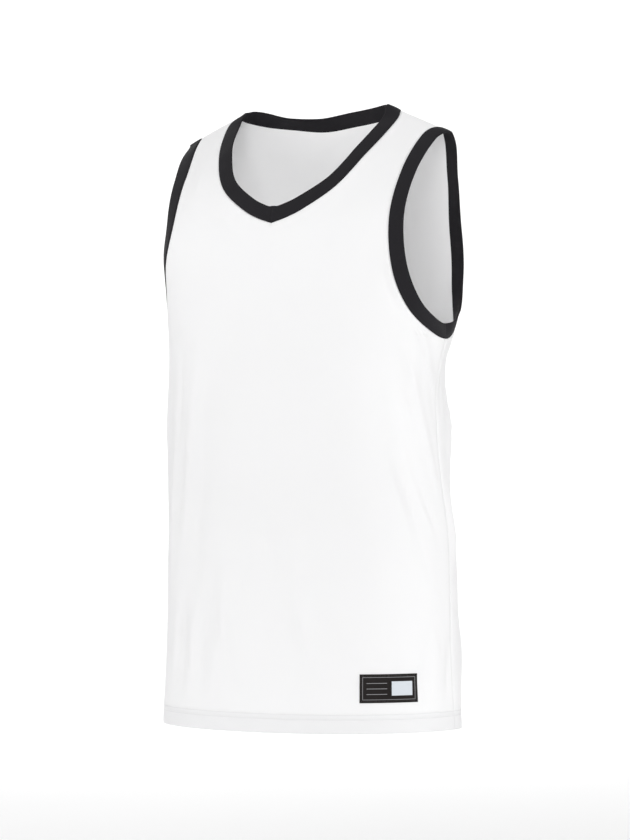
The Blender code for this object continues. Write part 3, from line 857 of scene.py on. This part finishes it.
def along_hem(height):
    """Angles of the stitches round the hem at one height, evenly spaced along the cloth."""
    sweep = np.linspace(-180, 180, HEM_SAMPLES)
    length = length_along(body(sweep, hem_level(height)))
    count = int(length[-1] / STITCH_PITCH)
    angle = np.interp((np.arange(count) + 0.5) / count * length[-1], length, sweep)
    return angle[np.abs(np.abs(angle) - 90) > SIDE_CLEAR]


def hem_stitches(finish):
    """Two parallel rows of stitches that hold the turned-up hem."""
    rows = []
    for height in STITCH_LINES:
        angle, level = along_hem(height), hem_level(height)
        place, out = outer_face(angle, level)
        ahead, _ = outer_face(angle + AHEAD, level)
        lift = HEM_STITCH_LIFT - stitch_sink(angle, level)
        rows.append((place + out * lift[:, None], unit(ahead - place), out))
    points, along, normals = (np.vstack(parts) for parts in zip(*rows))
    return stitches("hem_stitches", points, along, normals, HEM_STITCH, finish)


def tag_places(across, up):
    """Angle and level of places on the tag, in millimetres from its lower corner nearest the middle
    of the front."""
    sweep = np.linspace(*TAG_SWEEP, TAG_SAMPLES)
    length = length_along(body(sweep, hem_level(TAG_BASE)))
    length -= np.interp(TAG_ANGLE, sweep, length)
    return np.interp(across, length, sweep), hem_level(TAG_BASE + up)


def woven_tag(finish):
    """The woven tag: a patch of the front's own outer face, moved out, its four edges pressed down
    to the cloth by their stitches."""
    across = TAG_WIDTH * edge_spaced(TAG_COLUMNS, TAG_STEPS[:-1], TAG_STEPS[-1])
    up = TAG_HEIGHT * edge_spaced(TAG_ROWS, 2 * TAG_STEPS[:-1], 2 * TAG_STEPS[-1])
    across, up = np.meshgrid(across, up)
    points, normals = outer_face(*tag_places(across, up))
    edge = np.minimum(np.minimum(across, TAG_WIDTH - across), np.minimum(up, TAG_HEIGHT - up))
    pressed = TAG_PRESS[0] * bell(edge - TAG_SEAM, TAG_PRESS[1])
    dome = TAG_DOME[0] * (1 - bell(edge, TAG_DOME[1]))
    top = TAG_FOOT + TAG_WALL * rounded_edge(edge, *TAG_ROUNDING) + dome - pressed
    outer = (points + normals * top[..., None]).reshape(-1, 3)
    inner = (points + normals * TAG_BACK).reshape(-1, 3)
    uv = np.column_stack([across.ravel(), up.ravel()])
    return two_faced("woven_tag", outer, inner, grid_faces(*across.shape), uv, finish,
                     "hem_tag")


def tag_stitches(finish):
    """One row of small stitches round the tag, just inside its edges."""
    counts = (int((side - 2 * TAG_SEAM) / TAG_STITCH_PITCH) for side in (TAG_WIDTH, TAG_HEIGHT))
    wide, high = (TAG_SEAM + TAG_STITCH_PITCH * (np.arange(count) + 0.5) for count in counts)
    sides = np.repeat([TAG_SEAM, TAG_WIDTH - TAG_SEAM], len(high))
    ends = np.repeat([TAG_SEAM, TAG_HEIGHT - TAG_SEAM], len(wide))
    across, up = np.concatenate([wide, wide, sides]), np.concatenate([ends, high, high])
    runs_across = np.arange(len(across)) < 2 * len(wide)
    place, out = outer_face(*tag_places(across, up))
    ahead, _ = outer_face(*tag_places(across + AHEAD * runs_across, up + AHEAD * ~runs_across))
    return stitches("tag_stitches", place + out * TAG_STITCH_LIFT, unit(ahead - place), out, TAG_STITCH,
                    finish)


# ---- finishes


class Shade:
    """A shader socket that takes part in Python expressions: each adds its Math node."""

    def __init__(self, tree, socket):
        self.tree, self.socket = tree, socket

    def math(self, operation, *values):
        """A Math node on these values."""
        node = self.tree.nodes.new("ShaderNodeMath")
        node.operation = operation
        for slot, value in zip(node.inputs, values):
            connect(self.tree, slot, value)
        return Shade(self.tree, node.outputs[0])

    def __add__(self, other):
        return self.math("ADD", self, other)

    __radd__ = __add__

    def __sub__(self, other):
        return self.math("SUBTRACT", self, other)

    def __rsub__(self, other):
        return self.math("SUBTRACT", other, self)

    def __mul__(self, other):
        return self.math("MULTIPLY", self, other)

    __rmul__ = __mul__

    def __truediv__(self, other):
        return self.math("DIVIDE", self, other)

    def __rtruediv__(self, other):
        return self.math("DIVIDE", other, self)

    def __abs__(self):
        return self.math("ABSOLUTE", self)

    def __lt__(self, other):
        return self.math("LESS_THAN", self, other)

    def __gt__(self, other):
        return self.math("GREATER_THAN", self, other)

    def wave(self, length=1.0, shift=0.0):
        """A sine wave of this length, shifted by radians."""
        return self.math("SINE", self * (2 * np.pi / length) + shift)

    def fraction(self):
        return self.math("FRACT", self)

    def largest(self, other):
        return self.math("MAXIMUM", self, other)


def connect(tree, slot, value):
    """Link a Shade to a socket, or set the socket to a plain value."""
    if isinstance(value, Shade):
        tree.links.new(value.socket, slot)
    else:
        slot.default_value = value


class Finish:
    """A Principled material and the nodes that feed it."""

    def __init__(self, name, **constants):
        self.material = bpy.data.materials.new(name)
        self.material.use_nodes = True
        self.tree = self.material.node_tree
        self.shader = self.tree.nodes["Principled BSDF"]
        for socket, value in constants.items():
            self.shader.inputs[socket.replace("_", " ")].default_value = value

    def node(self, kind, settings, sockets, output=0):
        """Any node: its settings first, then its sockets' values or links, by name or number;
        returns one output."""
        made = self.tree.nodes.new(kind)
        for setting, value in settings.items():
            setattr(made, setting, value)
        for socket, value in sockets.items():
            connect(self.tree, made.inputs[socket], value)
        return Shade(self.tree, made.outputs[output])

    def cloth(self):
        """The piece's own coordinates in millimetres: across and up."""
        uv = self.node("ShaderNodeUVMap", {"uv_map": "cloth"}, {})
        return [self.node("ShaderNodeSeparateXYZ", {}, {0: uv}, axis) for axis in ("X", "Y")]

    def noise(self, scale, detail=2.0):
        """Soft noise over the object's own place, scale per metre."""
        place = self.node("ShaderNodeTexCoord", {}, {}, "Object")
        return self.node("ShaderNodeTexNoise", {}, {"Vector": place, "Scale": scale, "Detail": detail})

    def mix(self, share, first, second):
        """Between two colours by a share."""
        return self.node("ShaderNodeMix", {"data_type": "RGBA"}, {0: share, 6: first, 7: second}, 2)

    def let_through(self, share, colour):
        """Thin cloth: a share of the light goes through it and scatters on its far side."""
        passing = self.node("ShaderNodeBsdfTranslucent", {}, {"Color": colour})
        surface = Shade(self.tree, self.shader.outputs[0])
        mixed = self.node("ShaderNodeMixShader", {}, {0: share, 1: surface, 2: passing})
        connect(self.tree, self.tree.nodes["Material Output"].inputs["Surface"], mixed)

    def feed(self, socket, value):
        """Link or set a socket of the Principled shader."""
        connect(self.tree, self.shader.inputs[socket], value)

    def relief(self, height, depth, strength):
        """Fine relief of a depth in millimetres, fed to the normal."""
        sockets = {"Height": height, "Distance": depth * MM, "Strength": strength}
        self.feed("Normal", self.node("ShaderNodeBump", {}, sockets))


# Colours of the cloth
WHITE = (0.925, 0.924, 0.927, 1.0)
# darker white: painted shade in the knit's grooves, and random mottling
WHITE_MOTTLE_AND_SHADE = (0.88, 0.88, 0.885, 1.0)
# darker white of the doubled hem: painted shade
WHITE_HEM_SHADED = (0.858, 0.858, 0.864, 1.0)
RIB_BLACK = (0.0115, 0.0105, 0.0130, 1.0)
# deeper black: painted shade in the rib's grooves, and random mottling
RIB_BLACK_MOTTLE_AND_SHADE = (0.0070, 0.0065, 0.0080, 1.0)
TAG_DARK = (0.0095, 0.0068, 0.0062, 1.0)
TAG_DEEP = (0.0055, 0.0040, 0.0038, 1.0)
TAG_GREY = (0.27, 0.27, 0.28, 1.0)
TAG_LIGHT = (0.62, 0.66, 0.70, 1.0)
WHITE_THREAD = (0.80, 0.80, 0.81, 1.0)
BLACK_THREAD = (0.03, 0.027, 0.027, 1.0)

# Knit, rib and weave, in millimetres
SHOW_THROUGH = 0.30  # share of the light on the knit that passes into it and scatters
HEM_SHADE = 0.85  # share by which the doubled hem is painted its darker white, painted shade
WALE, COURSE = 1.25, 0.95  # width and height of one loop of the knit
KNIT_RELIEF = 0.06
RIB, RIB_COURSE = 1.7, 0.9  # width of a rib and height of its loops
RIB_RELIEF = 0.12
WARP, WEFT = 0.42, 0.55  # pitches of the tag's threads
TAG_RELIEF = 0.05

# The tag's design, in millimetres from its lower corner nearest the middle of the front
BORDER_INSET, BORDER_LINE = 3.6, 0.55
RULE_HEIGHTS = (10.0, 16.6, 23.2)
RULE_ENDS = (8.5, 33.0)
RULE_LINE = 0.7
WRITE_IN = ((38.5, 8.6), (64.0, 25.6))


def knit_finish():
    """Matt polyester knit: columns of V-shaped loops. The height is a sine across each wale, broken
    by slanted courses. The grooves between the courses are painted darker, painted shade, and the
    doubled hem is painted a shade darker, also painted shade."""
    made = Finish("white knit", Sheen_Weight=0.2, Sheen_Roughness=0.5, Specular_IOR_Level=0.3)
    across, up = made.cloth()
    wale = across / WALE
    slant = abs(wale.fraction() - 0.5)
    course = (up / COURSE + slant * 1.1).wave()
    mottle = made.noise(9.0)
    # painted shade: where the courses dip, between the loops, the knit is painted darker
    loop_groove_shade = (course * -0.5 + 0.5) * 0.12
    # the darker white serves both the painted shade in the grooves and random mottling
    colour = made.mix(loop_groove_shade + (mottle - 0.5) * 0.25, WHITE, WHITE_MOTTLE_AND_SHADE)
    # painted shade: the cloth below HEM_DEPTH, the doubled hem, is painted a darker white
    made.feed("Base Color", made.mix((up < HEM_DEPTH) * HEM_SHADE, colour, WHITE_HEM_SHADED))
    made.feed("Roughness", mottle * 0.08 + 0.58)
    made.relief(wale.wave() * 0.5 + course * 0.5, KNIT_RELIEF, 0.5)
    made.let_through(SHOW_THROUGH, WHITE)
    return made.material


def rib_finish():
    """Near-black rib: ridges across the band, each crossed by fine courses. The grooves between
    the ridges are painted darker, painted shade.
    """
    made = Finish("black rib", Sheen_Weight=0.04, Sheen_Roughness=0.45, Specular_IOR_Level=0.15)
    along, across = made.cloth()
    ribs = along.wave(RIB)
    courses = across.wave(RIB_COURSE, abs(ribs) * 1.2)
    mottle = made.noise(24.0)
    # painted shade: the grooves between the ribs are painted darker
    rib_groove_shade = (ribs * -0.5 + 0.5) * 0.6
    made.feed("Base Color", made.mix(rib_groove_shade + (mottle - 0.5) * 0.3, RIB_BLACK, RIB_BLACK_MOTTLE_AND_SHADE))
    made.feed("Roughness", mottle * 0.12 + 0.64)
    made.relief(ribs * 0.8 + courses * 0.2, RIB_RELIEF, 0.6)
    return made.material


def box_mask(across, up, low, high):
    """1 inside a rectangle on the tag, 0 outside."""
    return (across > low[0]) * (across < high[0]) * (up > low[1]) * (up < high[1])


def inset_mask(across, up, inset):
    """1 on the tag more than an inset from its edges, 0 nearer to them."""
    return box_mask(across, up, (inset, inset), (TAG_WIDTH - inset, TAG_HEIGHT - inset))


def tag_finish():
    """Satin-woven tag: a dark ground with a thin inset border, a blank light box to write in on the
    right and three plain ruled lines on the left. Fine warp threads run up it."""
    made = Finish("tag weave", Sheen_Weight=0.02, Specular_IOR_Level=0.15)
    across, up = made.cloth()
    border = inset_mask(across, up, BORDER_INSET) - inset_mask(across, up, BORDER_INSET + BORDER_LINE)
    rules = sum(box_mask(across, up, (RULE_ENDS[0], height), (RULE_ENDS[1], height + RULE_LINE))
                for height in RULE_HEIGHTS)
    write_in = box_mask(across, up, *WRITE_IN)
    warp = across.wave(WARP)
    weft = up.wave(WEFT, warp * 0.9)
    mottle = made.noise(60.0)
    ground = made.mix(warp * 0.25 + (mottle - 0.5) * 0.5 + 0.4, TAG_DARK, TAG_DEEP)
    lined = made.mix(border.largest(rules) * 0.9, ground, TAG_GREY)
    made.feed("Base Color", made.mix(write_in * (weft * 0.03 + 0.95), lined, TAG_LIGHT))
    made.feed("Roughness", weft * 0.05 + 0.5)
    made.relief(warp * 0.5 + weft * 0.5 + (border + write_in) * 0.8, TAG_RELIEF, 0.7)
    return made.material


def mottled_finish(name, colour, darkest, scale, detail, **constants):
    """A plain colour, mottled down to a darkest share of it by noise of a scale and detail."""
    made = Finish(name, **constants)
    dark = tuple(darkest * part for part in colour[:3]) + (1.0,)
    made.feed("Base Color", made.mix(made.noise(scale, detail), colour, dark))
    return made.material


def thread_finish(name, colour, roughness):
    """Twisted thread: slightly glossy, with fine mottling."""
    return mottled_finish(name, colour, 0.86, 400.0, 1.0, Roughness=roughness, Sheen_Weight=0.2)


# ---- the garment


white_knit, black_rib = knit_finish(), rib_finish()
front_panel = panel("front_panel", "front_cloth", True, white_knit)
back_panel = panel("back_panel", "back_cloth", False, white_knit)

fine, fine_back = edge_spaced(BAND_ROWS), edge_spaced(BACK_NECK_ROWS)
coarse, coarse_front, coarse_back = (np.linspace(0, 1, count + 1) for count in COARSE_ROWS)
neck = band("neck_band", "neck_rib", neck_runs(fine, fine_back), neck_runs(coarse_front, coarse_back),
            0, LEAN_NECK, black_rib)
arm_left, arm_right = (
    band("armhole_band_" + word, "armhole_rib_" + word, armhole_runs(side, fine),
         armhole_runs(side, coarse), side, LEAN_ARMHOLE, black_rib)
    for side, word in ((1, "left"), (-1, "right")))

hem_rows = hem_stitches(thread_finish("white thread", WHITE_THREAD, 0.45))
tag = woven_tag(tag_finish())
tag_rows = tag_stitches(thread_finish("black thread", BLACK_THREAD, 0.4))


# ---- floor, light and camera


# Floor and wall, from the middle of the garment and along the view
FLOOR_HEIGHT = -1080.0
FLOOR_NEAR = -6400.0
FLOOR_FAR = 5200.0  # where it starts to curve up into the wall
FLOOR_CURVE = 1200.0
CURVE_POINTS = 17
FLOOR_HALF = 5600.0  # half its width
WALL_TOP = 4200.0
FLOOR_WHITE = (0.93, 0.93, 0.93, 1.0)

# Square soft lights: place and aim in millimetres, side in metres, power in watts
LIGHTS = {
    "key": ((1500, -4150, 900), (0, 0, -350), 2.0, 67),
    "side": ((3900, 1000, 500), (0, 0, -400), 1.4, 44),
    "fill": ((-3600, -2200, 700), (0, 0, -450), 2.2, 24),
    "wall": ((-2310, 3300, 2600), (-3310, 6100, -200), 2.0, 60),
}
SKY_WHITE = (1.0, 1.0, 1.0, 1.0)
SKY_STRENGTH = 0.76

# Camera
AZIMUTH = 30.24  # degrees from straight in front, towards the wearer's left
DISTANCE = 4598.0
EYE_HEIGHT = -432.0
FORWARD_SHIFT = -16.3  # the point it circles lies this far from the ridge, forward
FRAME = (630, 840)  # width and height of the picture in pixels
ORIGIN_COLUMN = 311.9  # where the middle of the garment falls in it
EYE_ROW = 460.4  # and the height of the eye
FOCAL_PIXELS = 0.810 * DISTANCE  # 0.810 pixels to a millimetre at that distance
SENSOR = 36.0
CLIP_END = 50.0  # metres


def studio_floor():
    """A pale floor that curves up into a wall behind the garment: a profile of floor, quarter
    circle and wall, drawn out sideways. It is turned to face the camera."""
    turn = np.linspace(0, np.pi / 2, CURVE_POINTS)
    wall = FLOOR_FAR + FLOOR_CURVE
    depth = np.concatenate([[FLOOR_NEAR], FLOOR_FAR + FLOOR_CURVE * np.sin(turn), [wall]])
    rise = FLOOR_HEIGHT + FLOOR_CURVE * (1 - np.cos(turn))
    height = np.concatenate([[FLOOR_HEIGHT], rise, [WALL_TOP]])
    deep, side = np.meshgrid(depth, [-FLOOR_HALF, FLOOR_HALF], indexing="ij")
    up = np.broadcast_to(height[:, None], deep.shape)
    sine, cosine = np.sin(np.radians(AZIMUTH)), np.cos(np.radians(AZIMUTH))
    points = np.stack([side * cosine - deep * sine, side * sine + deep * cosine, up], axis=-1)
    finish = mottled_finish("pale floor", FLOOR_WHITE, 0.985, 1.5, 2.0, Roughness=0.8)
    mesh = smooth_mesh("studio_floor", points.reshape(-1, 3), grid_faces(*deep.shape), finish)
    new_object("studio_floor", mesh)


def softbox(name, place, aim, size, power):
    """A square area light at a place, turned to face a point."""
    light = bpy.data.lights.new(name, "AREA")
    light.shape = "SQUARE"
    light.size = size
    light.energy = power
    lamp = new_object(name, light)
    lamp.location = Vector(place) * MM
    lamp.rotation_euler = (Vector(aim) - Vector(place)).to_track_quat("-Z", "Y").to_euler()


def studio_camera():
    """A long lens at the viewing angle: aimed so that the garment's middle and the eye's height fall
    on their column and row of the picture."""
    turned = np.radians(AZIMUTH)
    ahead = Vector((-np.sin(turned), np.cos(turned), 0.0))
    right = Vector((np.cos(turned), np.sin(turned), 0.0))
    data = bpy.data.cameras.new("camera")
    data.sensor_width = SENSOR
    data.lens = FOCAL_PIXELS / FRAME[1] * SENSOR
    data.clip_end = CLIP_END
    camera = new_object("camera", data)
    camera.location = (Vector((0.0, FORWARD_SHIFT, EYE_HEIGHT)) - ahead * DISTANCE) * MM
    aim = (ahead + right * ((FRAME[0] / 2 - ORIGIN_COLUMN) / FOCAL_PIXELS)
           + Vector((0, 0, 1)) * ((EYE_ROW - FRAME[1] / 2) / FOCAL_PIXELS))
    camera.rotation_euler = aim.to_track_quat("-Z", "Y").to_euler()
    bpy.context.scene.camera = camera


def studio_sky():
    """An even white light from all round."""
    world = bpy.data.worlds.new("studio")
    world.use_nodes = True
    background = world.node_tree.nodes["Background"]
    background.inputs["Color"].default_value = SKY_WHITE
    background.inputs["Strength"].default_value = SKY_STRENGTH
    bpy.context.scene.world = world


studio_floor()
studio_camera()
for name, (place, aim, size, power) in LIGHTS.items():
    softbox(name, place, aim, size, power)
studio_sky()
bpy.context.scene.view_settings.view_transform = "Standard"
